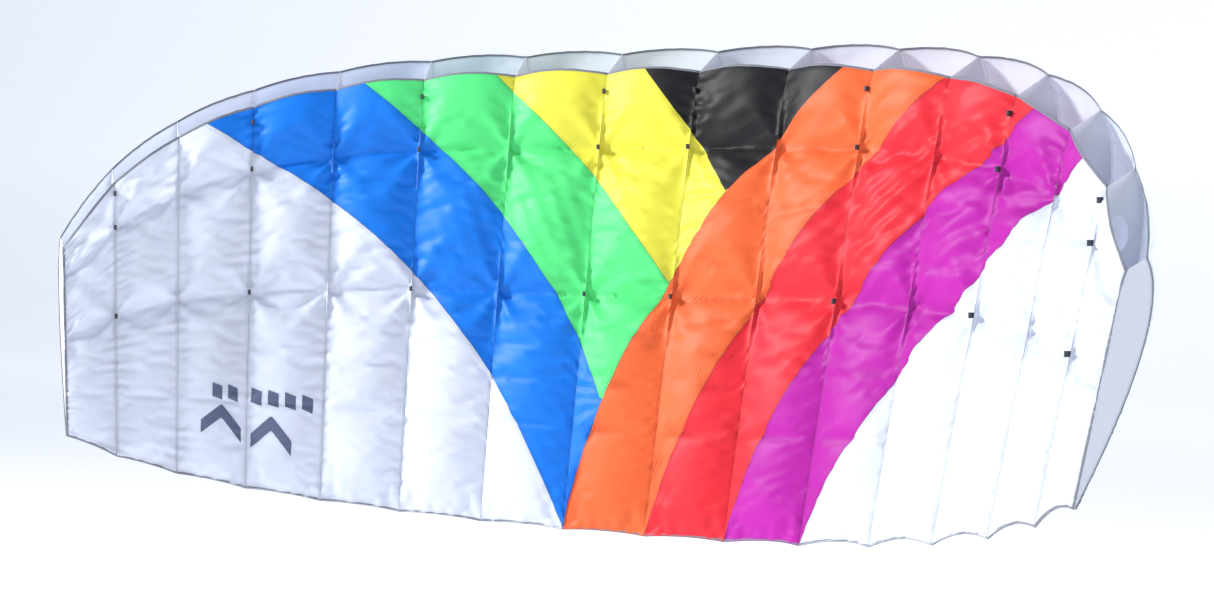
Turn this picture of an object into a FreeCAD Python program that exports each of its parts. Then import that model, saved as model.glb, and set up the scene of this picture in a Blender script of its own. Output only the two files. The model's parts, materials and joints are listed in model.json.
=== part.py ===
"""Ram-air parafoil kite: inflated cells between sixteen fabric ribs, in the kite's arched flying shape.

Millimetres. +X runs to the kite's right as its flyer sees it, +Z runs from the trailing edge to the
leading edge, and -Y faces the flyer. The origin is the middle of the kite's bounding box.
The wing lies on an arch about an axis parallel to Z, so every rib stands in a plane through that axis.
A seam is where a rib meets the skins. Seams are numbered from 0 at the left tip to the right tip, and
a share is a distance back from the upper lip over the chord.
"""
import FreeCAD
import Part
import math
import os

V = FreeCAD.Vector
UP = V(0, 0, 1)
ARCH_AXIS = V(0, 0, 0)

# Overall sizes
flat_span = 2700.0              # from tip to tip with the wing pulled flat
arch_angle = 98.0               # degrees of arch from tip to tip in flight
centre_chord = 965.0            # leading edge to trailing edge at the middle
leading_drop = 410.0            # how far the leading edge curves back at the tips
trailing_rise = 165.0           # how far the trailing edge curves forward at the tips
tip_narrowing = 0.22            # how much wider the middle cell is than the mean; tip cells are narrower
thickness_share = 0.16          # section thickness over chord
incidence = 12.0                # degrees; the leading edge is further from the flyer

# The section
nose_cut = 0.04                 # how much of the aerofoil's round nose the intake cuts away
lip_share = 0.05                # where the lower lip starts
lip_height = 0.06               # of the lower lip over the section's thickness
lip_curve_end = 0.14            # where the underside becomes flat
trailing_height = 2.4

# Cloth
skin = 1.2
rib_cloth = 1.0
bottom_puff = 22.0              # how far a cell of mean width swells between its ribs
top_puff = 18.0
puff_tail = 0.35                # share of the chord over which the swelling fades out
hem_width = 6.0
hem_cloth = 1.8
hem_gap = 0.3                   # between a hem and the skin that it is sewn to

# Crossports, which let air pass between the cells
port_places = (0.18, 0.36, 0.54)
port_share = 0.42               # port height over the rib's height
port_stretch = 1.5              # port length over its height

# Bridle loops
loaded_ribs = (1, 3, 5, 7, 8, 10, 12, 14)
loop_rows = {"nose": 0.09, "front": 0.21, "middle": 0.52}
loop_bore = 2.5
loop_ribbon = 0.5
loop_width = 10.0
loop_drop = 9.0                 # from the rib's edge to the middle of the loop
sewn_gap = 0.05

# Folds between the parts of the arch
fold_gap = 0.3
axis_clearance = 2.0            # from the highest cloth to a fold's axis
bodies = {
    "left_tip": {"cells": range(0, 2), "ribs": (0, 1)},
    "left_panel": {"cells": range(2, 5), "ribs": (2, 3, 4)},
    "centre": {"cells": range(5, 10), "ribs": (5, 6, 7, 8, 9, 10)},
    "right_panel": {"cells": range(10, 13), "ribs": (11, 12, 13)},
    "right_tip": {"cells": range(13, 15), "ribs": (14, 15)},
}
fold_seams = {"left_tip": 2, "left_panel": 5, "right_panel": 10, "right_tip": 13}
cell_count = 15

# Edges of the coloured stripes: seam number and share at the leading edge, midway and at the far end.
# Each named stripe lies to the right of its edge, and orange also covers what lies under its edge.
stripe_edges = {
    "blue": ((2.1, 0.0), (5.14, 0.51), (7.0, 1.0)),
    "green": ((4.0, 0.0), (6.18, 0.4), (7.32, 0.73)),
    "yellow": ((5.5, 0.0), (7.01, 0.28), (7.93, 0.49)),
    "black": ((7.2, 0.0), (8.01, 0.18), (8.51, 0.3)),
    "orange": ((10.0, 0.0), (8.22, 0.4), (7.0, 1.0)),
    "red": ((11.2, 0.0), (9.5, 0.39), (8.0, 1.0)),
    "magenta": ((12.7, 0.0), (10.21, 0.52), (9.0, 1.0)),
    "right_white": ((13.7, 0.0), (11.66, 0.51), (10.0, 1.0)),
}
left_stripes = ("left_white", "blue", "green", "yellow", "black")
right_stripes = ("orange", "red", "magenta", "right_white")
beyond = 3000.0                 # past every edge of the kite, for the stripes' cutting tools

half_arch = math.radians(arch_angle) / 2
fold_radius = flat_span / (2 * half_arch)
slope = math.tan(math.radians(incidence))
outline_shares = [0.0, 0.03, 0.08, 0.16, 0.28, 0.42, 0.58, 0.74, 0.88, 1.0]


def seam_angle(seam):
    """Angle of a seam about the arch axis, measured from the middle of the kite, in radians."""
    place = 2 * seam / cell_count - 1
    return half_arch * ((1 + tip_narrowing) * place - tip_narrowing * place ** 3)


def cell_breadth(cell):
    """A cell's width over the mean cell's."""
    return (seam_angle(cell + 1) - seam_angle(cell)) * cell_count / (2 * half_arch)


def leading_z(seam):
    """Height of the upper lip: the leading edge sweeps back to the tips as a cubic."""
    return centre_chord / 2 - leading_drop * abs(2 * seam / cell_count - 1) ** 3


def trailing_z(seam):
    """Height of the trailing edge, a parabola that rises to the tips."""
    return -centre_chord / 2 + trailing_rise * (2 * seam / cell_count - 1) ** 2


def chord(seam):
    return leading_z(seam) - trailing_z(seam)


def top_height(seam, share):
    """Height of the top skin over the underside: a four-digit aerofoil's formula, with its nose cut off."""
    x = nose_cut + (1 - nose_cut) * share
    rise = 2.969 * math.sqrt(x) - 1.26 * x - 3.516 * x ** 2 + 2.843 * x ** 3 - 1.036 * x ** 4
    return trailing_height * share + thickness_share * chord(seam) * rise


def bottom_height(seam, share):
    """Height of the bottom skin: flat, with a front that curves up to the lower lip."""
    front = max(0.0, (lip_curve_end - share) / (lip_curve_end - lip_share))
    return lip_height * thickness_share * chord(seam) * front ** 2


heights = {"top": top_height, "bottom": bottom_height}
puffs = {"top": top_puff, "bottom": bottom_puff}
outward = {"top": 1, "bottom": -1}
first_share = {"top": 0.0, "bottom": lip_share}


def highest_cloth():
    """Greatest distance of the top skin above the underside at mid chord, over all seams."""
    reach = 0.0
    for seam in range(cell_count + 1):
        for share in outline_shares:
            z = leading_z(seam) - share * chord(seam)
            reach = max(reach, z * slope + top_height(seam, share))
    return reach


bottom_radius = fold_radius - axis_clearance - highest_cloth()


def section_point(seam, side, share):
    """Radius and height of the section's outside at a seam."""
    z = leading_z(seam) - share * chord(seam)
    return bottom_radius + z * slope + heights[side](seam, share), z


def pushed_point(seam, side, share, push):
    """The section's point moved outward at right angles to the cloth."""
    step = 0.001
    front = section_point(seam, side, share)
    back = section_point(seam, side, share + step)
    length = math.hypot(back[0] - front[0], back[1] - front[1])
    across = -(back[1] - front[1]) / length
    along = (back[0] - front[0]) / length
    turn = outward[side] * push
    return front[0] + across * turn, front[1] + along * turn


def stand(point, seam, offset=0.0):
    """A (radius, height) point in the plane of a seam, shifted sideways from that plane."""
    angle = seam_angle(seam)
    x = point[0] * math.sin(angle) + offset * math.cos(angle)
    y = point[0] * math.cos(angle) - offset * math.sin(angle)
    return V(x, y, point[1])


def stood_up(shape, seam):
    """Turn a shape built in the plane X = 0 into the plane of a seam."""
    turned = shape.copy()
    turned.rotate(ARCH_AXIS, UP, -math.degrees(seam_angle(seam)))
    return turned


def curve(points):
    line = Part.BSplineCurve()
    line.interpolate(points)
    return line.toShape()


def strip_wire(outer, inner):
    """Closed outline of a strip of cloth between two rows of points."""
    edges = [curve(outer), Part.makeLine(outer[-1], inner[-1]), curve(inner[::-1])]
    edges.append(Part.makeLine(inner[0], outer[0]))
    return Part.Wire(edges)


def puff_at(cell, side, share):
    """How far the middle of a cell swells, in step with its width, fading to nothing at the trailing edge."""
    fade = math.sin(math.pi / 2 * min(1.0, (1 - share) / puff_tail))
    return puffs[side] * cell_breadth(cell) * fade


def cloth_strip(cell, side, start, end, cloth, gaps):
    """Cloth from one rib to the next, between two shares, swollen at the middle of the cell.

    start and end give the shares at a seam. gaps are the clearances to the left and right ribs.
    """
    stations = (
        (cell, rib_cloth / 2 + gaps[0], 0.0),
        (cell + 0.5, 0.0, 1.0),
        (cell + 1, -rib_cloth / 2 - gaps[1], 0.0),
    )
    wires = []
    for seam, offset, swell in stations:
        first = start(seam)
        last = end(seam)
        shares = [first + (last - first) * share for share in outline_shares]
        outer = []
        inner = []
        for share in shares:
            push = swell * puff_at(cell, side, share)
            outer.append(stand(pushed_point(seam, side, share, push), seam, offset))
            inner.append(stand(pushed_point(seam, side, share, push - cloth), seam, offset))
        wires.append(strip_wire(outer, inner))
    return Part.makeLoft(wires, True, False)


def rib_gaps(body, cell):
    """Clearances at a cell's two sides: none to the body's own ribs, the fold's gap to another body's."""
    own = bodies[body]["ribs"]
    return tuple(0.0 if seam in own else fold_gap for seam in (cell, cell + 1))


def hem_share(seam, gap=0.0):
    """A hem's width, and the gap beside it, as a share of the chord."""
    return (hem_width + gap) / chord(seam)


def skin_strip(body, cell, side):
    """The skin of one side of a cell, from its lip hem to its trailing hem."""
    return cloth_strip(
        cell, side,
        lambda seam: first_share[side] + hem_share(seam, hem_gap),
        lambda seam: 1 - hem_share(seam, hem_gap),
        skin, rib_gaps(body, cell),
    )


def lip_hem(body, cell, side):
    """The doubled hem along one lip of a cell's intake."""
    return cloth_strip(
        cell, side,
        lambda seam: first_share[side],
        lambda seam: first_share[side] + hem_share(seam),
        hem_cloth, rib_gaps(body, cell),
    )


def trailing_hem(body, cell):
    """The wedge of cloth where both skins of a cell are sewn together."""
    gaps = rib_gaps(body, cell)
    stations = (
        (cell, rib_cloth / 2 + gaps[0], 0.0),
        (cell + 0.5, 0.0, 1.0),
        (cell + 1, -rib_cloth / 2 - gaps[1], 0.0),
    )
    wires = []
    for seam, offset, swell in stations:
        front = 1 - hem_share(seam)
        corners = []
        for side, share in (("top", front), ("top", 1.0), ("bottom", 1.0), ("bottom", front)):
            push = swell * puff_at(cell, side, share)
            corners.append(stand(pushed_point(seam, side, share, push), seam, offset))
        wires.append(Part.makePolygon(corners + corners[:1]))
    return Part.makeLoft(wires, True, False)


def rib(seam):
    """One rib: the section's outline in cloth, with crossports unless it closes a tip."""
    top = [V(0, *section_point(seam, "top", share)) for share in outline_shares]
    span = 1 - lip_share
    bottom = [V(0, *section_point(seam, "bottom", lip_share + span * share)) for share in outline_shares]
    face = Part.Face(strip_wire(top, bottom))
    plate = face.extrude(V(rib_cloth, 0, 0))
    plate.translate(V(-rib_cloth / 2, 0, 0))
    if 0 < seam < cell_count:
        for share in port_places:
            plate = plate.cut(crossport(seam, share))
    return stood_up(plate, seam)


def crossport(seam, share):
    """An oval hole through a rib, half way up it."""
    low, z = section_point(seam, "bottom", share)
    high = section_point(seam, "top", share)[0]
    height = port_share * (high - low)
    oval = Part.Ellipse(V(0, 0, 0), height * port_stretch / 2, height / 2)
    hole = Part.Face(Part.Wire(oval.toShape())).extrude(V(0, 0, 2 * rib_cloth))
    hole.translate(V(0, 0, -rib_cloth))
    hole.rotate(V(0, 0, 0), V(0, 1, 0), 90)
    hole.translate(V(0, (low + high) / 2, z))
    return hole


def bridle_loop(seam, share):
    """A ribbon folded into a loop under a rib: its hole runs along Z."""
    half = loop_width / chord(seam) / 2
    roots = [section_point(seam, "bottom", share + step) for step in (-half, half)]
    middle = section_point(seam, "bottom", share)
    centre = V(0, middle[0] - loop_drop, middle[1] - loop_width / 2)
    outside = loop_bore + loop_ribbon
    stem = Part.makePolygon([
        V(-rib_cloth / 2, roots[0][0] - sewn_gap, roots[0][1]),
        V(-rib_cloth / 2, roots[1][0] - sewn_gap, roots[1][1]),
        V(-rib_cloth / 2, centre.y, roots[1][1]),
        V(-rib_cloth / 2, centre.y, roots[0][1]),
        V(-rib_cloth / 2, roots[0][0] - sewn_gap, roots[0][1]),
    ])
    ribbon = Part.Face(stem).extrude(V(rib_cloth, 0, 0))
    ribbon = ribbon.fuse(Part.makeCylinder(outside, loop_width, centre, UP))
    ribbon = ribbon.cut(Part.makeCylinder(loop_bore, 3 * loop_width, centre - UP * loop_width, UP))
    return stood_up(ribbon.removeSplitter(), seam)


def loop_centre(seam, share):
    """Middle of a bridle loop's hole, before the kite is moved to its origin."""
    radius, z = section_point(seam, "bottom", share)
    return stand((radius - loop_drop, z), seam)


def tip_binding(seam):
    """Tape along the outer face of a tip rib, around its curved top."""
    outer = []
    inner = []
    for share in outline_shares:
        outer.append(V(0, *pushed_point(seam, "top", share, 0.0)))
        inner.append(V(0, *pushed_point(seam, "top", share, -hem_width * (1 - share) - trailing_height / 2)))
    side = -1 if seam == 0 else 1
    tape = Part.Face(strip_wire(outer, inner)).extrude(V(side * hem_cloth, 0, 0))
    tape.translate(V(side * rib_cloth / 2, 0, 0))
    return stood_up(tape, seam)


def stripe_point(place):
    """Where a stripe's edge passes a seam number and share, seen along Y."""
    seam, share = place
    point = stand(section_point(seam, "bottom", share), seam)
    return V(point.x, 0, point.z)


def left_of(name):
    """A block that covers everything to the left of a stripe's edge, through the whole kite."""
    front, middle, back = [stripe_point(place) for place in stripe_edges[name]]
    arc = Part.Arc(front, middle, back)
    ahead = front - arc.tangent(arc.FirstParameter)[0] * beyond
    behind = back + arc.tangent(arc.LastParameter)[0] * beyond
    corners = [behind, V(-3 * beyond, 0, behind.z), V(-3 * beyond, 0, ahead.z), ahead, front]
    lines = [Part.makeLine(a, b) for a, b in zip(corners, corners[1:])]
    outline = Part.Wire([Part.makeLine(back, behind)] + lines + [arc.toShape()])
    block = Part.Face(outline).extrude(V(0, 2 * beyond, 0))
    block.translate(V(0, -beyond, 0))
    return block


def stripe_blocks():
    """A cutting block for each stripe, in the order of the stripes from left to right."""
    edges = {name: left_of(name) for name in stripe_edges}
    blocks = {}
    for name, following in zip(left_stripes, left_stripes[1:] + ("orange",)):
        block = edges["orange"].common(edges[following]) if following != "orange" else edges["orange"]
        for earlier in left_stripes[1:left_stripes.index(name) + 1]:
            block = block.cut(edges[earlier])
        blocks[name] = block
    for name, following in zip(right_stripes, right_stripes[1:]):
        blocks[name] = edges[following].cut(edges[name])
    everything = Part.makeBox(6 * beyond, 2 * beyond, 2 * beyond, V(-3 * beyond, -beyond, -beyond))
    blocks["right_white"] = everything.cut(edges["right_white"])
    return blocks


def stripe_pieces(strips, block):
    """The parts of a body's bottom skin that one colour covers, leaving out mere specks."""
    pieces = []
    for strip in strips:
        for piece in strip.common(block).Solids:
            if piece.Volume > skin * hem_width ** 2:
                pieces.append(piece)
    return pieces


def fold_place(body):
    """A point on a body's fold axis, beside the rib that the body folds against."""
    seam = fold_seams[body]
    side = -1 if seam < cell_count / 2 else 1
    if seam in bodies[body]["ribs"]:
        side = -side
    return stand((fold_radius, 0.0), seam, side * (rib_cloth + fold_gap) / 2)


def build():
    """Every node's shape, about the arch axis."""
    nodes = {}
    blocks = stripe_blocks()
    for body, members in bodies.items():
        cells = members["cells"]
        for seam in members["ribs"]:
            nodes["rib_%02d" % seam] = rib(seam)
        nodes["top_skin_" + body] = Part.makeCompound([skin_strip(body, cell, "top") for cell in cells])
        strips = [skin_strip(body, cell, "bottom") for cell in cells]
        for colour, block in blocks.items():
            pieces = stripe_pieces(strips, block)
            if pieces:
                nodes["bottom_%s_%s" % (colour, body)] = Part.makeCompound(pieces)
        lips = [lip_hem(body, cell, side) for cell in cells for side in ("top", "bottom")]
        nodes["intake_hems_" + body] = Part.makeCompound(lips)
        nodes["trailing_hem_" + body] = Part.makeCompound([trailing_hem(body, cell) for cell in cells])
        loops = []
        for seam in members["ribs"]:
            if seam in loaded_ribs:
                loops += [bridle_loop(seam, share) for share in loop_rows.values()]
        nodes["bridle_loops_" + body] = Part.makeCompound(loops)
    nodes["tip_binding_left"] = tip_binding(0)
    nodes["tip_binding_right"] = tip_binding(cell_count)
    return nodes


nodes = build()
whole = Part.makeCompound(list(nodes.values()))
whole.tessellate(0.2)
origin = whole.optimalBoundingBox(True, False).Center

os.makedirs("parts", exist_ok=True)
for name, shape in nodes.items():
    shape.translate(origin * -1)
    shape.exportStep("parts/%s.step" % name)
    print(name, len(shape.Solids), "solids", round(shape.Volume), "mm3", shape.isValid())

for body in fold_seams:
    place = fold_place(body) - origin
    print("fold", body, round(place.x, 3), round(place.y, 3), round(place.z, 3))
for seam in loaded_ribs:
    for row, share in loop_rows.items():
        place = loop_centre(seam, share) - origin
        print("loop", seam, row, round(place.x, 3), round(place.y, 3), round(place.z, 3))
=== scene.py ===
# %% [markdown]
# # A ram-air parafoil kite
# The frame gives the wing's size: the folds of its arch, and where each rib stands. The cloth is built on
# those ribs, inflated by a cloth simulation, and cut into the coloured panels that are sewn together.

# %% Tools and the frame
import json
import math
import bmesh
import bpy
import numpy as np
from mathutils import Matrix, Vector


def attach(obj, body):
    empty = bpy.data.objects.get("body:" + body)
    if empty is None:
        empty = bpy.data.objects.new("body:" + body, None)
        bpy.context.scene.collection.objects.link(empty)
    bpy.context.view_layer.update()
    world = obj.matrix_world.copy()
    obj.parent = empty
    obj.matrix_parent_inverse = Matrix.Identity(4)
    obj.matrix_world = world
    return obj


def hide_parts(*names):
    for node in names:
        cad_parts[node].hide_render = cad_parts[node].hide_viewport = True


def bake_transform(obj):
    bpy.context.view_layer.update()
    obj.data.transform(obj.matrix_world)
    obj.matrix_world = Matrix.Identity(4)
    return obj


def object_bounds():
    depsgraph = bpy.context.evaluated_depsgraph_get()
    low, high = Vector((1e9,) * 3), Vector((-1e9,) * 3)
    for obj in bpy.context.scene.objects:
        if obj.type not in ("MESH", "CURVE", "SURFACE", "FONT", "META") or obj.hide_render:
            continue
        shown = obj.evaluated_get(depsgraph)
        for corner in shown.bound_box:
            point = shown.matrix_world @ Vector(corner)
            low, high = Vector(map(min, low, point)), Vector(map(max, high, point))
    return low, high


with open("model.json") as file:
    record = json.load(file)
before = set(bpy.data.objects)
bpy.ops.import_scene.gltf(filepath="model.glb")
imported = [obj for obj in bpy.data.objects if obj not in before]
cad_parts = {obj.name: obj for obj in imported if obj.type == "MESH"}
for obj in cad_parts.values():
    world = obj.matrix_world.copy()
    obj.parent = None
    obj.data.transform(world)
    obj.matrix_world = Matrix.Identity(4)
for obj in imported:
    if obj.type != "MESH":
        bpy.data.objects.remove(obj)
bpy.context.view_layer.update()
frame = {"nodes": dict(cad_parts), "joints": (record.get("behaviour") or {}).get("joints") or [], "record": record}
record = frame["record"]
bodies = record["behaviour"]["bodies"]

# %% [markdown]
# ## 1. The arch and the ribs, read from the frame
# Every fold's axis stands on one circle, so two of them give the middle of the arch. A rib stands in a
# plane through that middle. Its box gives its ends, and its lowest straight line gives the underside.

# %% The arch
folds = {joint["name"]: Vector(joint["pos_m"]) for joint in frame["joints"]}
inner_fold = folds["right_panel_spread"]
outer_fold = folds["right_tip_spread"]
fold_rise = outer_fold.y - inner_fold.y
arch_y = (outer_fold.xy.length_squared - inner_fold.xy.length_squared) / (2 * fold_rise)
seam_count = sum(name.startswith("rib_") for name in frame["nodes"])
cell_count = seam_count - 1
seams = np.arange(seam_count, dtype=float)


def rib_vertices(seam):
    """A rib's vertices as its angle round the arch, and their radii and heights."""
    mesh = frame["nodes"]["rib_%02d" % seam].data
    co = np.empty(len(mesh.vertices) * 3, np.float32)
    mesh.vertices.foreach_get("co", co)
    x, y, z = co.reshape(-1, 3).T.astype(float)
    return np.arctan2(x, y - arch_y).mean(), np.hypot(x, y - arch_y), z


ribs = [rib_vertices(seam) for seam in range(seam_count)]
seam_angles = np.array([rib[0] for rib in ribs])
leading = np.array([rib[2].max() for rib in ribs])
trailing = np.array([rib[2].min() for rib in ribs])
arch_degrees = math.degrees(seam_angles[-1] - seam_angles[0])
print("arch:", round(arch_degrees, 1), "degrees over", cell_count, "cells")

# %% The rib section
NOSE_CUT = 0.04                 # the intake cuts this much off the aerofoil's round nose
LIP_SHARE = 0.05                # the lower lip starts this share of the chord behind the upper lip
LIP_HEIGHT = 0.06               # share of the thickness by which the lower lip curls up
LIP_CURVE_END = 0.14            # where the underside becomes flat
TRAILING_HEIGHT = 0.0024        # metres between the skins at the tail
FIRST_SHARE = {"top": 0.0, "bottom": LIP_SHARE}


def aerofoil(share):
    """Height over the thickness: the four-digit aerofoil's formula, with its nose cut off."""
    x = NOSE_CUT + (1 - NOSE_CUT) * np.clip(share, 0, 1)
    return 2.969 * np.sqrt(x) - 1.26 * x - 3.516 * x ** 2 + 2.843 * x ** 3 - 1.036 * x ** 4


def underside_line():
    """Slope and radius at height 0 of the flat underside, which no vertex of the middle rib is below."""
    _, radius, z = ribs[cell_count // 2]
    tail = np.argmin(z)
    flat = (z > z.min() + 0.2 * np.ptp(z)) & (z < z.max() - 0.2 * np.ptp(z))
    foot = radius[z < z.min() + 1e-4].min()
    slopes = (radius[flat] - foot) / (z[flat] - z[tail])
    return slopes.min(), foot - slopes.min() * z[tail]


slope, line_radius = underside_line()
_, middle_radius, middle_z = ribs[cell_count // 2]
thickness = np.max(middle_radius - line_radius - slope * middle_z) / np.ptp(middle_z)
cell_breadths = np.diff(seam_angles) / np.diff(seam_angles).mean()
cell_widths = np.diff(seam_angles) * middle_radius.mean()
seam_places = np.concatenate([[0], np.cumsum(cell_widths)])
print("underside slope", round(slope, 3), "and thickness", round(thickness, 3), "of the chord")


def seam_value(values, seam):
    """A value known at the seams, at any place between them."""
    return np.interp(seam, seams, values)


def chord_at(seam):
    """The wing's length from leading to trailing edge."""
    return seam_value(leading, seam) - seam_value(trailing, seam)


def section(side, seam, share):
    """Radius and height of the cloth's line over a rib, for arrays of seam and share."""
    chord = chord_at(seam)
    z = seam_value(leading, seam) - share * chord
    radius = line_radius + slope * z
    if side == "top":
        return radius + thickness * chord * aerofoil(share) + TRAILING_HEIGHT * share, z
    lip = np.clip((LIP_CURVE_END - share) / (LIP_CURVE_END - LIP_SHARE), 0, None)
    return radius + LIP_HEIGHT * thickness * chord * lip ** 2, z


def outward(side, seam, share):
    """Unit direction out of the cloth, as (radius, height)."""
    step = 1e-3
    front = section(side, seam, share)
    back = section(side, seam, share + step)
    along = np.stack([back[0] - front[0], back[1] - front[1]])
    along /= np.linalg.norm(along, axis=0)
    turn = 1 if side == "top" else -1
    return -along[1] * turn, along[0] * turn


def wing_point(side, seam, share, push=0.0):
    """Points on a side of the wing, pushed outward by a length, as an array of (x, y, z)."""
    radius, z = section(side, seam, share)
    out = outward(side, seam, share)
    radius = radius + out[0] * push
    z = z + out[1] * push
    angle = seam_value(seam_angles, seam)
    return np.stack([radius * np.sin(angle), arch_y + radius * np.cos(angle), z], axis=-1)


# %% [markdown]
# ## 2. Inflating the cloth
# Each side of the wing starts as one sheet that runs over all the ribs. It is pinned where it is sewn to
# them, grows a little, and is blown outward, so it swells between the ribs and gathers along the seams.

# %% The sheet before it is inflated
SIM_COLUMNS = 12                # over each cell
SIM_ROWS = 84
PUFF = {"top": 0.018, "bottom": 0.022}  # swell of a cell of mean width
PUFF_TAIL = 0.2                 # share of the chord over which the swell dies away to the tail
START_SWELL = 0.35              # share of the swell that the sheet starts with
SCALLOP_SEAMS = (0.0, 9.0, 11.5, 15.0)
SCALLOPS = (0.003, 0.004, 0.013, 0.015)  # the trailing edge's scallop at each of these seams


def across_cell(seam, cell):
    """A bump over a cell: 0 at its two seams and 1 midway."""
    t = seam - cell
    return 4 * t * (1 - t)


def swell(side, seam, cell, share):
    """How far the inflated cloth stands out from the line between its ribs."""
    fade = np.sin(np.pi / 2 * np.clip((1 - share) / PUFF_TAIL, 0, 1))
    breadth = cell_breadths[np.asarray(cell).astype(int)]
    return PUFF[side] * breadth * across_cell(seam, cell) * fade


def tail_pull(points, seam, cell, share):
    """The trailing edge drawn forward between the ribs, in a scallop."""
    depth = np.interp(seam, SCALLOP_SEAMS, SCALLOPS)
    near_tail = np.clip((share - 0.8) / 0.2, 0, 1) ** 2
    points[..., 2] += depth * across_cell(seam, cell) * near_tail
    return points


def sheet_grid(side):
    """Seam, cell and share of every vertex of the sheet, in rows from the lip to the tail."""
    seam = np.linspace(0, cell_count, cell_count * SIM_COLUMNS + 1)
    share = np.linspace(FIRST_SHARE[side], 1, SIM_ROWS)
    seam, share = np.meshgrid(seam, share)
    cell = np.minimum(np.floor(seam + 1e-9), cell_count - 1)
    return seam, cell, share


def grid_faces(rows, columns, flip=False):
    """Four-sided faces of a grid; unflipped, they face the right-hand turn from columns to rows."""
    index = np.arange(rows * columns).reshape(rows, columns)
    corners = [index[:-1, :-1], index[:-1, 1:], index[1:, 1:], index[1:, :-1]]
    if flip:
        corners.reverse()
    return np.stack(corners, axis=-1).reshape(-1, 4)


def mesh_object(name, points, faces):
    """A new smooth mesh object at the origin."""
    mesh = bpy.data.meshes.new(name)
    mesh.from_pydata(points.reshape(-1, 3).tolist(), [], faces.tolist())
    mesh.shade_smooth()
    piece = bpy.data.objects.new(name, mesh)
    bpy.context.scene.collection.objects.link(piece)
    return piece


# %% The simulation
FRAMES = 26
GROWTH = 0.024                  # share by which the cloth is longer than the line it is pinned to
PRESSURE = 6.0
HEM_PIN = 0.3                   # how firmly a lip's hem is held between the ribs
STIFF_HEM = 0.025               # share of the chord over which a lip's hem keeps the cloth even
EVENED = 0.85                   # how much of the cloth's unevenness the hem takes away


def inflate(side, seam, cell, share):
    """The sheet's vertices after the cloth simulation, as (rows, columns, 3)."""
    start = wing_point(side, seam, share, START_SWELL * swell(side, seam, cell, share))
    start = tail_pull(start, seam, cell, share)
    rows, columns = seam.shape
    sheet = mesh_object("sheet", start, grid_faces(rows, columns, flip=side == "bottom"))
    pinned = np.isclose(seam, np.round(seam)) | (share > 0.999)
    pins = sheet.vertex_groups.new(name="sewn")
    pins.add(np.flatnonzero(pinned).tolist(), 1.0, "REPLACE")
    hemmed = np.flatnonzero((share < FIRST_SHARE[side] + 1e-6) & ~pinned)
    pins.add(hemmed.tolist(), HEM_PIN, "REPLACE")
    cloth = sheet.modifiers.new("Cloth", "CLOTH")
    settings = cloth.settings
    settings.quality = 5
    settings.mass = 0.1
    settings.tension_stiffness = 20
    settings.compression_stiffness = 10
    settings.shear_stiffness = 8
    settings.bending_stiffness = 0.05
    settings.vertex_group_mass = "sewn"
    settings.shrink_min = -GROWTH
    settings.use_pressure = True
    settings.uniform_pressure_force = PRESSURE
    settings.effector_weights.gravity = 0
    cloth.collision_settings.use_collision = False
    cloth.point_cache.frame_end = FRAMES
    for step in range(1, FRAMES + 1):
        bpy.context.scene.frame_set(step)
    settled = sheet.evaluated_get(bpy.context.evaluated_depsgraph_get()).data
    points = np.empty(rows * columns * 3, np.float32)
    settled.vertices.foreach_get("co", points)
    bpy.data.objects.remove(sheet)
    bpy.context.scene.frame_set(1)
    return points.reshape(rows, columns, 3).astype(float)


def inflated(side):
    """The inflated cloth: simulated and evened out at the hems."""
    seam, cell, share = sheet_grid(side)
    even = tail_pull(wing_point(side, seam, share, swell(side, seam, cell, share)), seam, cell, share)
    hem = EVENED * np.exp(-((share - FIRST_SHARE[side]) / STIFF_HEM) ** 2)[..., None]
    return even * hem + inflate(side, seam, cell, share) * (1 - hem)


cloth_points = {side: inflated(side) for side in ("bottom", "top")}
for side, points in cloth_points.items():
    sheet_low, sheet_high = points.min((0, 1)), points.max((0, 1))
    print(side, "sheet", points.shape, "from", sheet_low.round(3), "to", sheet_high.round(3))

# %% [markdown]
# ## 3. Reading the cloth between its vertices
# The panels are finer than the simulated sheet. A Catmull-Rom curve through four neighbours reads it
# smoothly along the chord and across one cell, and never across a seam, where the cloth has its crease.


# %% Smooth reading
def four_weights(t):
    """Catmull-Rom weights of four neighbours, for a place t between the middle two."""
    return np.stack([
        -0.5 * t + t ** 2 - 0.5 * t ** 3,
        1 - 2.5 * t ** 2 + 1.5 * t ** 3,
        0.5 * t + 2 * t ** 2 - 1.5 * t ** 3,
        -0.5 * t ** 2 + 0.5 * t ** 3,
    ])


def neighbours(place, last):
    """The four vertices round a place in a row that ends at last, and their weights."""
    base = np.clip(np.floor(place).astype(int), 0, last - 1)
    index = np.stack([np.clip(base + step, 0, last) for step in (-1, 0, 1, 2)])
    return index, four_weights(place - base)


def cloth_at(side, seam, cell, share):
    """Points of the inflated cloth of one cell, for arrays of seam and share."""
    points = cloth_points[side]
    down = (share - FIRST_SHARE[side]) / (1 - FIRST_SHARE[side]) * (SIM_ROWS - 1)
    rows, row_weights = neighbours(down, SIM_ROWS - 1)
    columns, column_weights = neighbours((seam - cell) * SIM_COLUMNS, SIM_COLUMNS)
    columns = columns + cell * SIM_COLUMNS
    total = 0
    for row, row_weight in zip(rows, row_weights):
        for column, column_weight in zip(columns, column_weights):
            total = total + points[row, column] * (row_weight * column_weight)[..., None]
    return total


# %% [markdown]
# ## 4. Creases and gathers
# The bridle pulls the underside in along two rows, sewn seams gather the cloth beside them, and slack
# cloth ripples where the wing is least loaded. All of it moves the cloth along its own outward direction.

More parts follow.
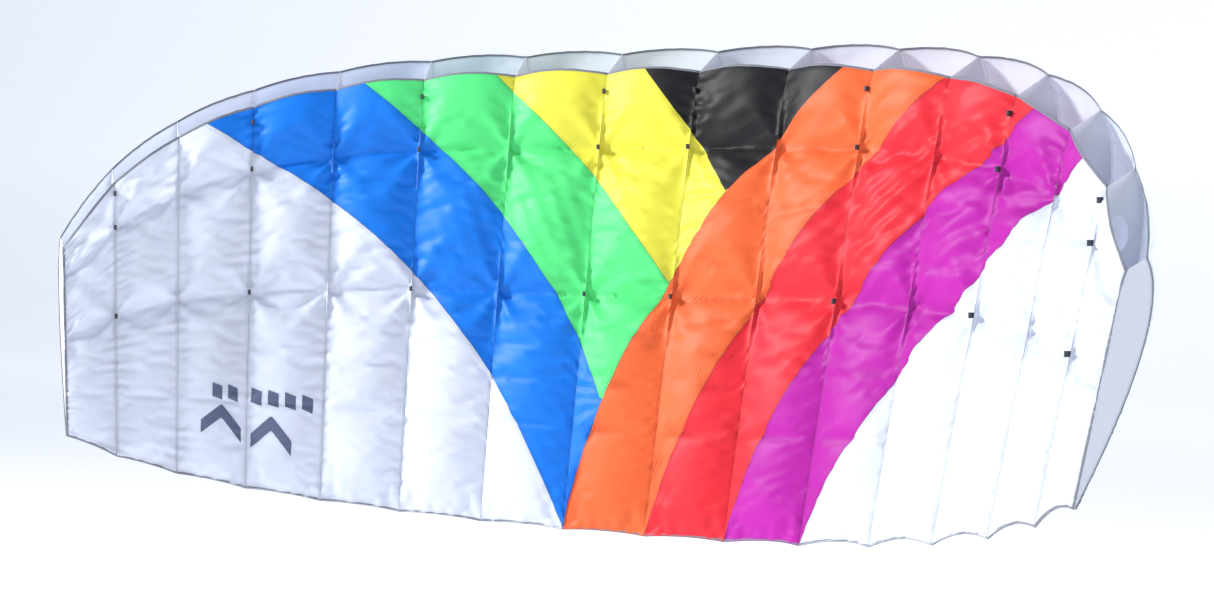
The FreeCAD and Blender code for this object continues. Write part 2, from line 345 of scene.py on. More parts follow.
# %% The cloth's small shape
CREASE_ROWS = (0.21, 0.52)
CREASE_DEPTHS = (0.019, 0.011)  # of the wide valley and of the fold at its bottom
CREASE_WIDTHS = (0.055, 0.011)  # shares of the chord
GATHER_DEPTH = 0.0022
GATHER_REACH = 0.028
GATHER_WAVES = (0.023, 0.037)   # lengths of the two waves along a seam
GATHER_PATCH = 0.31             # how far apart the seam's tight places are
SEAM_FLAT = 0.004               # cloth this near a seam lies flat on it
PINCH_DEPTH = 0.0035
PINCH_REACH = 0.035
PINCH_FOLDS = 7

MEAN_CHORD = 0.85               # turns a share into metres, for the spacing of waves along the chord

# Slack ripples: middle (seam, share), half size (seams, share), turn in degrees, wavelength, depth
RIPPLES = (
    ((11.6, 0.24), (1.9, 0.2), 28, 0.055, 0.0035),
    ((10.6, 0.3), (0.9, 0.16), 40, 0.034, 0.002),
    ((12.6, 0.42), (1.3, 0.2), 18, 0.06, 0.0025),
    ((6.3, 0.36), (0.9, 0.12), -64, 0.034, 0.0009),
    ((8.2, 0.12), (0.8, 0.1), 24, 0.04, 0.0011),
    ((5.0, 0.62), (1.6, 0.15), 8, 0.07, 0.002),
    ((13.6, 0.6), (1.0, 0.25), 12, 0.05, 0.002),
)


def ripples(seam, share):
    """Parallel waves under a soft round window, for each patch of slack cloth."""
    total = np.zeros_like(seam)
    for (middle_seam, middle_share), (wide, long), turn, wavelength, depth in RIPPLES:
        x = seam_value(seam_places, seam) - seam_value(seam_places, middle_seam)
        y = (share - middle_share) * MEAN_CHORD
        window = np.exp(-((seam - middle_seam) / wide) ** 2 - ((share - middle_share) / long) ** 2)
        angle = math.radians(turn)
        line = x * math.sin(angle) + y * math.cos(angle)
        wander = 0.35 * np.sin(9 * x + 3 * y)
        total += depth * window * np.sin(2 * np.pi * line / wavelength + 4 * wander)
    return total


def gathers(seam, cell, share):
    """Short waves beside a seam, uneven along it and dying away from it."""
    t = seam - cell
    off = np.minimum(t, 1 - t) * cell_widths[cell]
    nearest = np.round(seam)
    y = share * MEAN_CHORD
    short, long = GATHER_WAVES
    wave = np.sin(2 * np.pi * y / short + 5 * nearest) + 0.7 * np.sin(2 * np.pi * y / long + 9 * nearest)
    uneven = 0.5 + 0.5 * np.sin(2 * np.pi * y / GATHER_PATCH + 2.3 * nearest)
    return GATHER_DEPTH * uneven * wave * np.exp(-off / GATHER_REACH) * np.clip(off / SEAM_FLAT, 0, 1)


def pinches(seam, cell, share, row):
    """Folds that fan out from where a crease meets a seam, dying with distance."""
    t = seam - cell
    x = np.minimum(t, 1 - t) * cell_widths[cell]
    y = (share - row) * MEAN_CHORD
    reach = np.hypot(x, y) / PINCH_REACH
    return PINCH_DEPTH * np.cos(PINCH_FOLDS * np.arctan2(y, x)) * reach * np.exp(1 - reach)


def small_shape(side, seam, cell, share):
    """How far creases, gathers and ripples move the cloth outward."""
    lift = gathers(seam, cell, share)
    if side == "top":
        return lift
    breadth = cell_breadths[cell] * across_cell(seam, cell) ** 0.4
    for row in CREASE_ROWS:
        for depth, width in zip(CREASE_DEPTHS, CREASE_WIDTHS):
            lift = lift - depth * breadth * np.exp(-np.abs((share - row) / width) ** 1.3)
        lift = lift + pinches(seam, cell, share, row)
    off_seam = np.clip(across_cell(seam, cell) * 3, 0, 1)
    return lift + ripples(seam, share) * off_seam


RIB_CLEARANCE = 0.0008          # the skins lie just outside the ribs' edges


def cloth(side, seam, cell, share, above=0.0):
    """Points of the finished cloth, or a height above it."""
    radius, height = outward(side, seam, share)
    angle = seam_value(seam_angles, seam)
    out = np.stack([radius * np.sin(angle), radius * np.cos(angle), height], axis=-1)
    lift = small_shape(side, seam, cell, share) + RIB_CLEARANCE + above
    return cloth_at(side, seam, cell, share) + out * lift[..., None]


# %% [markdown]
# ## 5. Colours and materials

# %% Helpers for materials
def linear(colour):
    """An sRGB hex colour as linear red, green, blue and alpha."""
    channels = [int(colour[place:place + 2], 16) / 255 for place in (1, 3, 5)]
    return [c / 12.92 if c <= 0.04045 else ((c + 0.055) / 1.055) ** 2.4 for c in channels] + [1.0]


def add(tree, kind, inputs=None, **settings):
    """A new shader node. inputs maps a socket to a value or to another node's output."""
    made = tree.nodes.new(kind)
    for name, value in settings.items():
        setattr(made, name, value)
    for socket, value in (inputs or {}).items():
        if isinstance(value, bpy.types.NodeSocket):
            tree.links.new(value, made.inputs[socket])
        else:
            made.inputs[socket].default_value = value
    return made


def new_material(name):
    """A material and its node tree, emptied."""
    material = bpy.data.materials.new(name)
    material.use_nodes = True
    tree = material.node_tree
    tree.nodes.clear()
    return material, tree


def arithmetic(tree, operation, *values):
    """The output of a maths node, for numbers or other nodes' outputs."""
    return add(tree, "ShaderNodeMath", dict(enumerate(values)), operation=operation).outputs[0]


def threads(tree, coordinate, spacing, width):
    """1 on thin parallel lines and 0 between them."""
    place = arithmetic(tree, "PINGPONG", coordinate, spacing / 2)
    return arithmetic(tree, "LESS_THAN", place, width / 2)


THREAD_GRID = 0.005             # metres between ripstop's thicker threads
THREAD = 0.0005
SEAM_ALLOWANCE = 0.007          # cloth this near a panel's edge is doubled
SEWN_LINE = 0.0011
STITCH_ROW = 0.0045             # from the edge to the row of stitches
STITCH_HALF_WIDTH = 0.0004
STITCH_STEP = 0.0019            # half of the distance from one stitch to the next
STITCH = 0.0013


def ripstop(name, colour, see_through=0.22):
    """Ripstop cloth: plain woven, with thicker threads each 5 mm, and coated so that it holds air.

    The cloth shades a little darker where seams double it, and its stitches run beside them.
    """
    material, tree = new_material(name)
    uv = add(tree, "ShaderNodeUVMap", uv_map="pattern").outputs[0]
    split = add(tree, "ShaderNodeSeparateXYZ", {0: uv})
    edge = add(tree, "ShaderNodeAttribute", attribute_name="edge").outputs["Fac"]
    grid = arithmetic(
        tree, "MAXIMUM",
        threads(tree, split.outputs[0], THREAD_GRID, THREAD),
        threads(tree, split.outputs[1], THREAD_GRID, THREAD),
    )
    cloudy = add(tree, "ShaderNodeTexNoise", {"Vector": uv, "Scale": 7.0, "Detail": 4.0}).outputs[0]
    shade = add(tree, "ShaderNodeMapRange", {0: cloudy, 1: 0.3, 2: 0.7, 3: 0.93, 4: 1.05}).outputs[0]
    shade = arithmetic(tree, "MULTIPLY_ADD", grid, -0.05, shade)
    doubled = arithmetic(tree, "LESS_THAN", edge, SEAM_ALLOWANCE)
    shade = arithmetic(tree, "MULTIPLY_ADD", doubled, -0.06, shade)
    sewn = arithmetic(tree, "LESS_THAN", edge, SEWN_LINE)
    shade = arithmetic(tree, "MULTIPLY_ADD", sewn, -0.35, shade)
    stitch_row = arithmetic(tree, "COMPARE", edge, STITCH_ROW, STITCH_HALF_WIDTH)
    along = arithmetic(tree, "ADD", split.outputs[0], split.outputs[1])
    dashes = arithmetic(tree, "LESS_THAN", arithmetic(tree, "PINGPONG", along, STITCH_STEP), STITCH)
    stitches = arithmetic(tree, "MULTIPLY", stitch_row, dashes)
    shade = arithmetic(tree, "MULTIPLY_ADD", stitches, -0.2, shade)
    grey = add(tree, "ShaderNodeCombineColor", {0: shade, 1: shade, 2: shade}).outputs[0]
    tint = add(
        tree, "ShaderNodeMix", {0: 1.0, 6: linear(colour), 7: grey},
        data_type="RGBA", blend_type="MULTIPLY",
    )
    weave = add(tree, "ShaderNodeTexNoise", {"Vector": uv, "Scale": 900.0, "Detail": 1.0}).outputs[0]
    relief = arithmetic(tree, "MULTIPLY_ADD", grid, 0.5, weave)
    relief = arithmetic(tree, "MULTIPLY_ADD", stitches, 2.0, relief)
    bump = add(tree, "ShaderNodeBump", {"Strength": 0.25, "Distance": 0.0004, "Height": relief}).outputs[0]
    surface = add(tree, "ShaderNodeBsdfPrincipled", {
        "Base Color": tint.outputs[2], "Roughness": 0.5, "Normal": bump,
        "Sheen Weight": 0.15, "Sheen Roughness": 0.4, "Specular IOR Level": 0.35,
    })
    glow = add(tree, "ShaderNodeBsdfTranslucent", {"Color": tint.outputs[2], "Normal": bump})
    mixed = add(tree, "ShaderNodeMixShader", {0: see_through, 1: surface.outputs[0], 2: glow.outputs[0]})
    add(tree, "ShaderNodeOutputMaterial", {0: mixed.outputs[0]})
    material.diffuse_color = linear(colour)
    return material


def woven_tape(name, colour, rib_spacing):
    """Narrow woven tape or ribbon: a close twill that shows as fine ribs across its length."""
    material, tree = new_material(name)
    place = add(tree, "ShaderNodeTexCoord").outputs["Object"]
    split = add(tree, "ShaderNodeSeparateXYZ", {0: place})
    diagonal = arithmetic(tree, "ADD", split.outputs[0], split.outputs[2])
    relief = arithmetic(tree, "PINGPONG", diagonal, rib_spacing / 2)
    bump = add(tree, "ShaderNodeBump", {"Strength": 0.6, "Distance": 0.2, "Height": relief}).outputs[0]
    cloudy = add(tree, "ShaderNodeTexNoise", {"Vector": place, "Scale": 60.0}).outputs[0]
    light = linear(colour)
    dark = [channel * 0.8 for channel in light[:3]] + [1.0]
    tint = add(tree, "ShaderNodeMix", {0: cloudy, 6: light, 7: dark}, data_type="RGBA")
    surface = add(tree, "ShaderNodeBsdfPrincipled", {
        "Base Color": tint.outputs[2], "Roughness": 0.75, "Normal": bump, "Sheen Weight": 0.2,
    })
    add(tree, "ShaderNodeOutputMaterial", {0: surface.outputs[0]})
    material.diffuse_color = linear(colour)
    return material


# %% The kite's materials: a panel's cloth is looked up by the last word of its name
colours = {
    "white": "#e8eefb",
    "blue": "#0880ee",
    "green": "#5cf088",
    "yellow": "#f6ee4e",
    "black": "#151417",
    "orange": "#fb6f38",
    "red": "#ee2838",
    "magenta": "#c016aa",
}
cloths = {
    colour: ripstop("Ripstop nylon, %s, woven and coated" % colour, code)
    for colour, code in colours.items()
}
rib_cloth = ripstop("Ripstop polyester, white, woven", "#e6e9f2", see_through=0.3)
edge_tape = woven_tape("Polyester binding tape, grey, woven", "#7d818c", 0.0009)
ribbon = woven_tape("Polyester ribbon, dark grey, woven", "#3c3d44", 0.0012)
ink = woven_tape("Screen print ink, slate blue, printed on the cloth", "#5b6684", 0.0005)
print("materials:", len(bpy.data.materials))

# %% [markdown]
# ## 6. How each cell moves
# A fold turns over the two cells beside it. Cloth within one seam of a fold is tied to neither body and
# stays where it is built; the rest is tied to the body whose skin covers its cell.

# %% Following the bodies
FOLDS = {
    2: ("left_tip", "left_panel"),
    5: ("left_panel", "centre"),
    10: ("centre", "right_panel"),
    13: ("right_panel", "right_tip"),
}


def body_of_cell(cell):
    """The body whose CAD skin covers a cell: the one to the right of the last fold before it."""
    body = "left_tip"
    for fold, (_, right_body) in FOLDS.items():
        if fold <= cell:
            body = right_body
    return body


def follow(piece, seam):
    """Tie a piece to the body under it, or to no body if a fold is within one seam of its middle."""
    for fold, (left_body, right_body) in FOLDS.items():
        if abs(seam - fold) < 1:
            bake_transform(piece)
            return
    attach(piece, body_of_cell(min(int(seam), cell_count - 1)))


# %% [markdown]
# ## 7. The coloured panels
# A stripe's edge is an arc seen along Y, through three places on the wing. Down each column of a cell the
# edges come in one order, so a panel is the cloth between two of them, and neighbours share every point.

# %% Where the stripes' edges are
STRIPE_EDGES = {
    "black": ((7.2, 0.0), (8.01, 0.18), (8.51, 0.3)),
    "yellow": ((5.5, 0.0), (7.01, 0.28), (7.93, 0.49)),
    "green": ((4.0, 0.0), (6.18, 0.4), (7.32, 0.73)),
    "blue": ((2.1, 0.0), (5.14, 0.51), (7.0, 1.0)),
    "orange": ((10.0, 0.0), (8.22, 0.4), (7.0, 1.0)),
    "red": ((11.2, 0.0), (9.5, 0.39), (8.0, 1.0)),
    "magenta": ((12.7, 0.0), (10.21, 0.52), (9.0, 1.0)),
    "right_white": ((13.7, 0.0), (11.66, 0.51), (10.0, 1.0)),
}
LEFT_EDGES = ("black", "yellow", "green", "blue")
PANEL_ORDER = ("black", "yellow", "green", "blue", "left_white", "orange", "red", "magenta", "right_white")


def circle_through(a, b, c):
    """Centre and radius of the circle through three points of a plane."""
    rows = np.array([b - a, c - a])
    right = 0.5 * np.array([b @ b - a @ a, c @ c - a @ a])
    centre = np.linalg.solve(rows, right)
    return centre, np.linalg.norm(a - centre)


def edge_circle(name):
    """A stripe edge's circle in x and z, and the sign that makes its right side positive."""
    seam, share = np.array(STRIPE_EDGES[name]).T
    ends = wing_point("bottom", seam, share)[:, [0, 2]]
    centre, radius = circle_through(*ends)
    beside = ends[1] + (0.01, 0)
    return centre, radius, np.sign(np.linalg.norm(beside - centre) - radius)


SAMPLES = np.linspace(0, 1, 400)


def edge_share(name, seam):
    """The share at which each column of the underside crosses a stripe's edge, between the lip and 1."""
    centre, radius, sign = edge_circle(name)
    share = LIP_SHARE + (1 - LIP_SHARE) * SAMPLES
    columns, rows = np.meshgrid(seam, share)
    place = wing_point("bottom", columns, rows)[..., [0, 2]]
    side = sign * (np.linalg.norm(place - centre, axis=-1) - radius)
    if name not in LEFT_EDGES:
        side = -side
    crossed = side <= 0
    first = np.argmax(crossed, axis=0)
    inside = np.maximum(first, 1)
    columns = np.arange(len(seam))
    before = side[inside - 1, columns]
    after = side[inside, columns]
    crossing = share[inside - 1] + (share[inside] - share[inside - 1]) * before / (before - after + 1e-12)
    crossing = np.where(first == 0, LIP_SHARE, crossing)
    return np.where(crossed.any(axis=0), crossing, 1.0)


def panel_cuts(seam):
    """For each column, the shares where one colour gives way to the next, in PANEL_ORDER."""
    orange = edge_share("orange", seam)
    cuts = [np.full_like(seam, LIP_SHARE)]
    for name in STRIPE_EDGES:
        cut = edge_share(name, seam)
        if name in LEFT_EDGES:
            cut = np.minimum(cut, orange)
        cuts.append(cut)
    cuts.append(np.ones_like(seam))
    return np.maximum.accumulate(np.array(cuts), axis=0)


# %% Making the panels
COLUMNS = 30                    # over each cell
ROW_STEP = 0.0055               # metres
SHORTEST = 0.002                # metres of cloth that still make a panel
LEAST_SIZE = 0.011              # either way of a panel's flat size
LEAST_FILL = 0.31               # share of its flat rectangle that a tapering panel fills at least
LEAST_AREA = 0.301              # the same for a panel of the least size
CURVE_SLACK = 1.06              # cloth over a cell is this much wider than the line between its ribs


def without_slivers(piece):
    """Weld the points where a panel tapers to nothing, and drop the faces that this empties."""
    mesh = piece.data
    bm = bmesh.new()
    bm.from_mesh(mesh)
    bmesh.ops.remove_doubles(bm, verts=bm.verts, dist=1e-5)
    thin = [face for face in bm.faces if face.calc_area() < 1e-9]
    bmesh.ops.delete(bm, geom=thin, context="FACES")
    bmesh.ops.delete(bm, geom=[v for v in bm.verts if not v.link_faces], context="VERTS")
    bm.to_mesh(mesh)
    bm.free()
    return piece


def write_pattern(mesh, u, v, edge):
    """Store where each vertex lies in the flat pattern, and how far it is from the panel's edge."""
    corners = np.empty(len(mesh.loops), np.int32)
    mesh.loops.foreach_get("vertex_index", corners)
    layer = mesh.uv_layers.new(name="pattern")
    layer.data.foreach_set("uv", np.stack([u.ravel()[corners], v.ravel()[corners]], -1).ravel())
    attribute = mesh.attributes.new("edge", "FLOAT", "POINT")
    attribute.data.foreach_set("value", edge.ravel().astype(np.float32))


def surface_area(mesh):
    """The area of all of a mesh's faces."""
    areas = np.empty(len(mesh.polygons))
    mesh.polygons.foreach_get("area", areas)
    return areas.sum()


def cut_size(piece, width, length):
    """A panel's flat size and area: the cloth's own area before it was stretched by the air."""
    area = surface_area(piece.data) / (1 + GROWTH / 2)
    length = max(length, area / width * 1.001, LEAST_SIZE)
    if area < LEAST_FILL * width * length:
        length = max(area / (LEAST_FILL * width), LEAST_SIZE)
    return (width, length), min(max(area, LEAST_AREA * width * length), width * length)


def panel(name, side, cell, low, high, seam, material):
    """The cloth of one cell between two shares, which vary from column to column."""
    chord = chord_at(seam)
    tall = float(((high - low) * chord).max())
    rows = max(3, int(tall / ROW_STEP) + 1)
    down = np.linspace(0, 1, rows)[:, None]
    share = low + (high - low) * down
    seams_grid = np.broadcast_to(seam, share.shape)
    points = cloth(side, seams_grid, cell, share)
    piece = mesh_object(name, points, grid_faces(rows, len(seam), flip=side == "bottom"))
    t = seams_grid - cell
    width = cell_widths[cell]
    v = share * chord
    lean = np.gradient(high * chord, seam * width)
    lean_low = np.gradient(low * chord, seam * width)
    edge = np.minimum(t, 1 - t) * width
    edge = np.minimum(edge, (high - share) * chord / np.hypot(1, lean))
    edge = np.minimum(edge, (share - low) * chord / np.hypot(1, lean_low))
    write_pattern(piece.data, seam_value(seam_places, seams_grid), v, edge)
    without_slivers(piece)
    piece.data.materials.append(material)
    used = (high - low) * chord > 1e-4
    across = max(float(np.ptp(seam[used])) * width * CURVE_SLACK, LEAST_SIZE)
    flat, area = cut_size(piece, across, tall)
    follow(piece, cell + 0.5)
    return piece


def bottom_panels():
    """Every coloured panel of the underside, each standing for its body's CAD panels of that colour."""
    made = 0
    for cell in range(cell_count):
        seam = np.linspace(cell, cell + 1, COLUMNS + 1)
        cuts = panel_cuts(seam)
        for name, low, high in zip(PANEL_ORDER, cuts[:-1], cuts[1:]):
            if ((high - low) * chord_at(seam)).max() < SHORTEST:
                continue
            colour = name.split("_")[-1]
            label = "bottom_%02d_%s" % (cell + 1, name)
            piece = panel(label, "bottom", cell, low, high, seam, cloths[colour])
            node = "bottom_%s_%s" % (name, body_of_cell(cell))
            if node in frame["nodes"]:
                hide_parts(node)
            made += 1
    return made


def top_panels():
    """The top skin, one panel to a cell."""
    for cell in range(cell_count):
        seam = np.linspace(cell, cell + 1, COLUMNS + 1)
        low = np.zeros_like(seam)
        piece = panel("top_%02d" % (cell + 1), "top", cell, low, low + 1, seam, cloths["white"])
        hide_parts("top_skin_" + body_of_cell(cell))


underside_count = bottom_panels()
top_panels()
print("panels:", underside_count, "underneath and", cell_count, "on top")

# %% [markdown]
# ## 8. Ribs, hems and bindings
# Each rib is the CAD rib's own outline, with its crossports. The hems fold over the lips and the trailing
# edge, and a grey binding closes each tip.


def make_ribs():
    """Cloth ribs in the outline of the CAD ribs, tied to the bodies in the same way as the skins that they hold.
    """
    for seam in range(seam_count):
        node = "rib_%02d" % seam
        mesh = frame["nodes"][node].data.copy()
        mesh.materials.clear()
        mesh.materials.append(rib_cloth)
        piece = bpy.data.objects.new("rib_cloth_%02d" % seam, mesh)
        bpy.context.scene.collection.objects.link(piece)
        zeros = np.zeros(len(mesh.vertices))
        write_pattern(mesh, zeros, zeros, zeros + 1)
        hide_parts(node)
        follow(piece, seam)


make_ribs()


# %% Closed strips
def closed_strip(name, rings):
    """A solid through rings of points, (ring, corner, xyz), with both of its ends filled."""
    index = np.arange(rings.shape[0] * rings.shape[1]).reshape(rings.shape[:2])
    after = np.roll(index, -1, axis=1)
    sides = np.stack([index[:-1], after[:-1], after[1:], index[1:]], axis=-1).reshape(-1, 4)
    piece = mesh_object(name, rings, sides)
    bm = bmesh.new()
    bm.from_mesh(piece.data)
    bmesh.ops.holes_fill(bm, edges=[edge for edge in bm.edges if edge.is_boundary])
    bmesh.ops.recalc_face_normals(bm, faces=bm.faces)
    bm.to_mesh(piece.data)
    bm.free()
    return piece


# %% Hems and bindings
BINDING_CORNERS = 10            # round the tape's section
SQUARENESS = 0.6                # 1 makes the section an oval, and less makes it squarer


def binding(name, path, side_direction, out_direction, width, height):
    """Tape folded over an edge: a rounded oblong swept along a path of points."""
    turns = np.linspace(0, 2 * np.pi, BINDING_CORNERS, endpoint=False)
    across = np.sign(np.cos(turns)) * np.abs(np.cos(turns)) ** SQUARENESS * width / 2
    up = np.sign(np.sin(turns)) * np.abs(np.sin(turns)) ** SQUARENESS * height / 2
    section_points = side_direction[:, None] * across[:, None] + out_direction[:, None] * up[:, None]
    rings = path[:, None] + section_points
    piece = closed_strip(name, rings)
    piece.data.shade_smooth()
    piece.data.materials.append(edge_tape)
    return piece


def frame_along(path, back):
    """Directions across an edge into the cloth, and out of the cloth, along a path."""
    along = np.gradient(path, axis=0)
    along /= np.linalg.norm(along, axis=1)[:, None]
    inward = back - path
    inward -= along * (inward * along).sum(1)[:, None]
    inward /= np.linalg.norm(inward, axis=1)[:, None]
    return inward, np.cross(along, inward)


HEM = 0.005
HEM_HEIGHT = 0.0016
TRAILING_HEM_HEIGHT = 0.0034    # over both skins
HEM_INSET = 0.3 * HEM           # from the cloth's edge to the middle of its hem
BEHIND = 0.012                  # share behind the edge that shows which way the cloth runs
HEM_COLUMNS = 24                # along each cell


def lip_hems():
    """A folded hem along both lips of every cell's intake."""
    for cell in range(cell_count):
        seam = np.linspace(cell, cell + 1, HEM_COLUMNS + 1)
        for side in ("bottom", "top"):
            share = np.full_like(seam, FIRST_SHARE[side])
            path = cloth(side, seam, cell, share)
            inward, out = frame_along(path, cloth(side, seam, cell, share + BEHIND))
            path = path + inward * HEM_INSET
            piece = binding("%s_lip_hem_%02d" % (side, cell + 1), path, inward, out, HEM, HEM_HEIGHT)
            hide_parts("intake_hems_" + body_of_cell(cell))
            follow(piece, cell + 0.5)


def trailing_hems():
    """The hem that closes both skins along the trailing edge."""
    for cell in range(cell_count):
        seam = np.linspace(cell, cell + 1, HEM_COLUMNS + 1)
        share = np.ones_like(seam)
        path = (cloth("bottom", seam, cell, share) + cloth("top", seam, cell, share)) / 2
        inward, out = frame_along(path, cloth("bottom", seam, cell, share - BEHIND))
        path = path + inward * HEM_INSET
        piece = binding("trailing_hem_%02d" % (cell + 1), path, inward, out, HEM, TRAILING_HEM_HEIGHT)
        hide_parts("trailing_hem_" + body_of_cell(cell))
        follow(piece, cell + 0.5)


def tip_bindings():
    """Grey tape round each tip, along the seams of the tip rib with both skins."""
    for name, seam, cell in (("left", 0.0, 0), ("right", float(cell_count), cell_count - 1)):
        for side in ("bottom", "top"):
            share = np.linspace(FIRST_SHARE[side], 1, 90)
            place = np.full_like(share, seam)
            path = cloth(side, place, cell, share)
            inside = cloth(side, place + (0.05 if seam == 0 else -0.05), cell, share)
            inward, out = frame_along(path, inside)
            piece = binding("tip_binding_%s_%s" % (name, side), path, inward, out, HEM, HEM_HEIGHT)
            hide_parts("tip_binding_" + name)
            follow(piece, seam)


lip_hems()
trailing_hems()
tip_bindings()

# %% [markdown]
# ## 9. Bridle loops
# A ribbon runs down from its rib, round the hole that takes a bridle line, and back up. Each stands where
# its mount is.

# %% The loops
LOOP_STEM = 0.009
RIBBON = 0.0005


def ribbon_path(radius):
    """A loop's outline seen along Z: down one side of the stem, round the hole and up the other side."""
    turns = np.linspace(math.radians(-250), math.radians(70), 28)
    ring = np.stack([radius * np.cos(turns), radius * np.sin(turns)], axis=-1)
    top = np.array([[-RIBBON / 2, LOOP_STEM], [-RIBBON / 2, LOOP_STEM / 2]])
    return np.vstack([top, ring, top[::-1] * (-1, 1)])


def bridle_loop(mount):
    """One ribbon loop at its mount, in the plane across the rib."""
    middle = np.array(mount["pos_m"])
    seam = int(mount["name"].split("_")[-1])
    angle = seam_angles[seam]
    out = np.array([math.sin(angle), math.cos(angle), 0])
    across = np.array([math.cos(angle), -math.sin(angle), 0])
    radius = mount["dims"]["r_mm"] / 1000
    half = np.array([0, 0, mount["dims"]["length_mm"] / 2000])
    inner = ribbon_path(radius)
    outer = ribbon_path(radius + RIBBON)
    corners = []
    for outline, end in ((inner, half), (outer, half), (outer, -half), (inner, -half)):
        corners.append(middle + outline[:, :1] * across + outline[:, 1:] * out + end)
    piece = closed_strip(mount["name"].replace("loop_rib", "loop"), np.stack(corners, axis=1))
    piece.data.materials.append(ribbon)
    body = next(name for name, nodes in bodies.items() if "rib_%02d" % seam in nodes)
    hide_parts("bridle_loops_" + body)
    follow(piece, seam)


for mount in record["mounts"]:
    bridle_loop(mount)
print("loops:", len(record["mounts"]))

# %% [markdown]
# ## 10. Printed marks
# A plain row of slanted dashes over a pair of wide chevrons, printed on two of the left cells.

# %% The print
PRINT_LIFT = 0.0009
PRINT_ROWS = 16
PRINT_COLUMNS = 24
DASH_STARTS = (2.5, 2.72, 3.06, 3.28, 3.5, 3.72)
DASH_WIDTH = 0.14
DASH_HEIGHT = 0.035             # share of the chord
CHEVRON_HEIGHT = 0.034
CHEVRON_BEND = 0.05


def printed(name, low_seam, high_seam, middle_share, height, lean, bend=0.0):
    """One printed bar: a patch of the underside between two seam places, leaning and bent midway."""
    cell = int(low_seam)
    seam = np.linspace(low_seam, min(high_seam, cell + 0.99), PRINT_COLUMNS)
    t = (seam - low_seam) / (high_seam - low_seam)
    centre = middle_share + lean * (seam - low_seam) - bend * (1 - np.abs(2 * t - 1))
    share = centre + np.linspace(-height / 2, height / 2, PRINT_ROWS)[:, None]
    seams_grid = np.broadcast_to(seam, share.shape)
    points = cloth("bottom", seams_grid, cell, share, above=PRINT_LIFT)
    piece = mesh_object(name, points, grid_faces(PRINT_ROWS, PRINT_COLUMNS, flip=True))
    piece.data.materials.append(ink)
    follow(piece, cell + 0.5)


for number, start in enumerate(DASH_STARTS):
    row_share = 0.765 + 0.016 * (start - DASH_STARTS[0])
    printed("print_dash_%d" % (number + 1), start, start + DASH_WIDTH, row_share, DASH_HEIGHT, lean=0.06)
printed("print_chevron_1", 2.34, 2.92, 0.865, CHEVRON_HEIGHT, lean=0.02, bend=CHEVRON_BEND)
printed("print_chevron_2", 3.06, 3.6, 0.885, CHEVRON_HEIGHT, lean=0.02, bend=CHEVRON_BEND)

# %% [markdown]
# ## 11. The studio
# A plain pale floor under the kite curves up behind it. A soft light stands high on the left in front,
# weaker ones fill from the right, the side and behind, and a pale sky lights the rest.

# %% Floor and lights
cloth_low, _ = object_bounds()


def backdrop():
    """A wide floor that curves up into a wall well behind the kite, drawn as one profile along X."""
    half_width = 14.0
    wall_y = 12.0
    wall_height = 8.0
    turn_radius = 2.0
    floor_z = cloth_low.z - 0.55
    turn = np.linspace(0, np.pi / 2, 24)
    curve_y = wall_y - turn_radius + turn_radius * np.sin(turn)
    curve_z = floor_z + turn_radius * (1 - np.cos(turn))
    profile = [(-half_width, floor_z)] + list(zip(curve_y, curve_z)) + [(wall_y, floor_z + wall_height)]
    points = np.array([[[x, y, z] for x in (-half_width, half_width)] for y, z in profile])
    piece = mesh_object("studio_floor", points, grid_faces(len(profile), 2, flip=True))
    material, tree = new_material("Studio paper, white, matt")
    white = linear("#f2f4f7")
    surface = add(tree, "ShaderNodeBsdfPrincipled", {
        "Base Color": white, "Roughness": 0.9, "Emission Color": white, "Emission Strength": 0.4,
    })
    add(tree, "ShaderNodeOutputMaterial", {0: surface.outputs[0]})
    piece.data.materials.append(material)


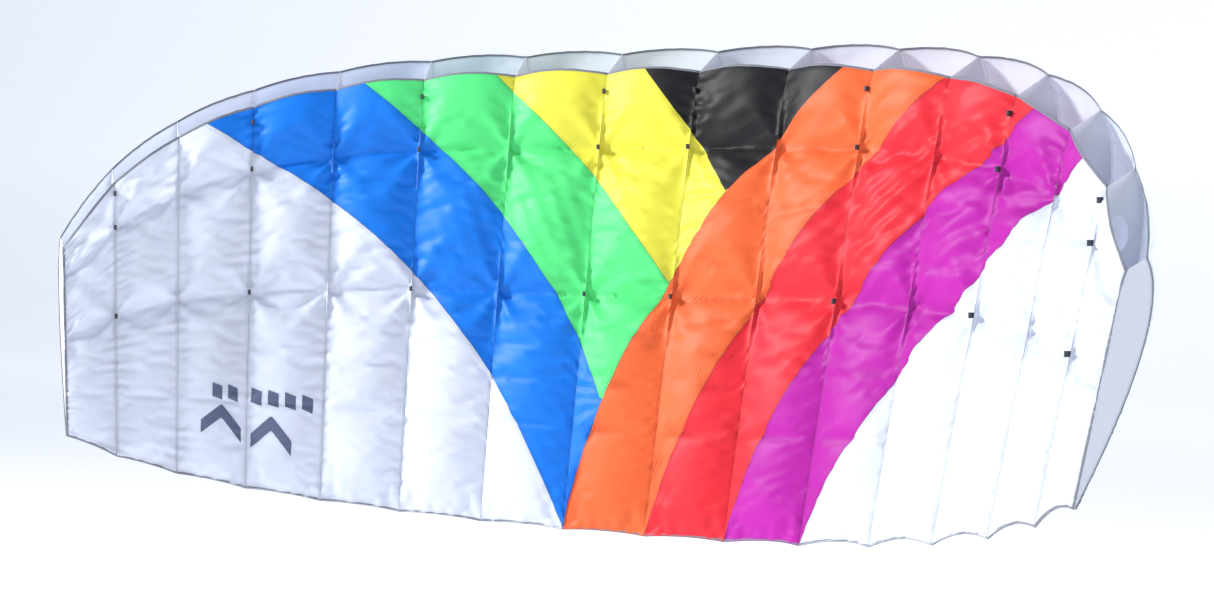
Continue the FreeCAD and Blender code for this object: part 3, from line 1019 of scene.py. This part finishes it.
def soft_light(name, place, target, size, power):
    """A round white area light that faces a point."""
    data = bpy.data.lights.new(name, "AREA")
    data.shape = "DISK"
    data.size = size
    data.energy = power
    lamp = bpy.data.objects.new(name, data)
    lamp.location = place
    lamp.rotation_euler = (Vector(target) - Vector(place)).to_track_quat("-Z", "Y").to_euler()
    bpy.context.scene.collection.objects.link(lamp)


backdrop()
soft_light("key_light", (-4.0, -2.2, 2.3), (0, 0, 0), 0.9, 330)
soft_light("fill_light", (2.6, -4.2, 0.4), (0, 0, 0), 3.0, 36)
soft_light("side_light", (4.4, 0.8, 1.2), (0.9, 0, 0), 1.5, 70)
soft_light("back_light", (0.4, 3.2, 2.4), (0, 0.4, 0), 2.0, 32)
world = bpy.data.worlds.new("Pale studio")
world.use_nodes = True
sky = world.node_tree.nodes["Background"].inputs
sky["Color"].default_value = linear("#dfe7f6")
sky["Strength"].default_value = 0.52
bpy.context.scene.world = world
bpy.context.scene.view_settings.view_transform = "Standard"

# %% [markdown]
# ## 12. The camera
# The camera stands a little to the kite's right and level with it, and leans a little.

# %% Camera
CAMERA_AZIMUTH = 24.3
CAMERA_ELEVATION = 0.8
CAMERA_ROLL = 1.2
CAMERA_DISTANCE = 3.646
CAMERA_AIM = (0.011, -0.036)    # the point looked at: metres right of the origin and above it
LENS = 56.0


def place_camera():
    """Stand at an azimuth, elevation and distance, and turn about the line of sight by the roll."""
    azimuth = math.radians(CAMERA_AZIMUTH)
    elevation = math.radians(CAMERA_ELEVATION)
    flat = math.cos(elevation)
    back = Vector((math.sin(azimuth) * flat, -math.cos(azimuth) * flat, math.sin(elevation)))
    right = Vector((math.cos(azimuth), math.sin(azimuth), 0))
    aim = right * CAMERA_AIM[0] + Vector((0, 0, CAMERA_AIM[1]))
    data = bpy.data.cameras.new("camera")
    data.lens = LENS
    data.sensor_width = 36.0
    camera = bpy.data.objects.new("camera", data)
    place = back * CAMERA_DISTANCE
    turn = (aim - place).to_track_quat("-Z", "Y").to_matrix().to_4x4()
    roll = Matrix.Rotation(math.radians(CAMERA_ROLL), 4, "Z")
    camera.matrix_world = Matrix.Translation(place) @ turn @ roll
    bpy.context.scene.collection.objects.link(camera)
    bpy.context.scene.camera = camera


place_camera()
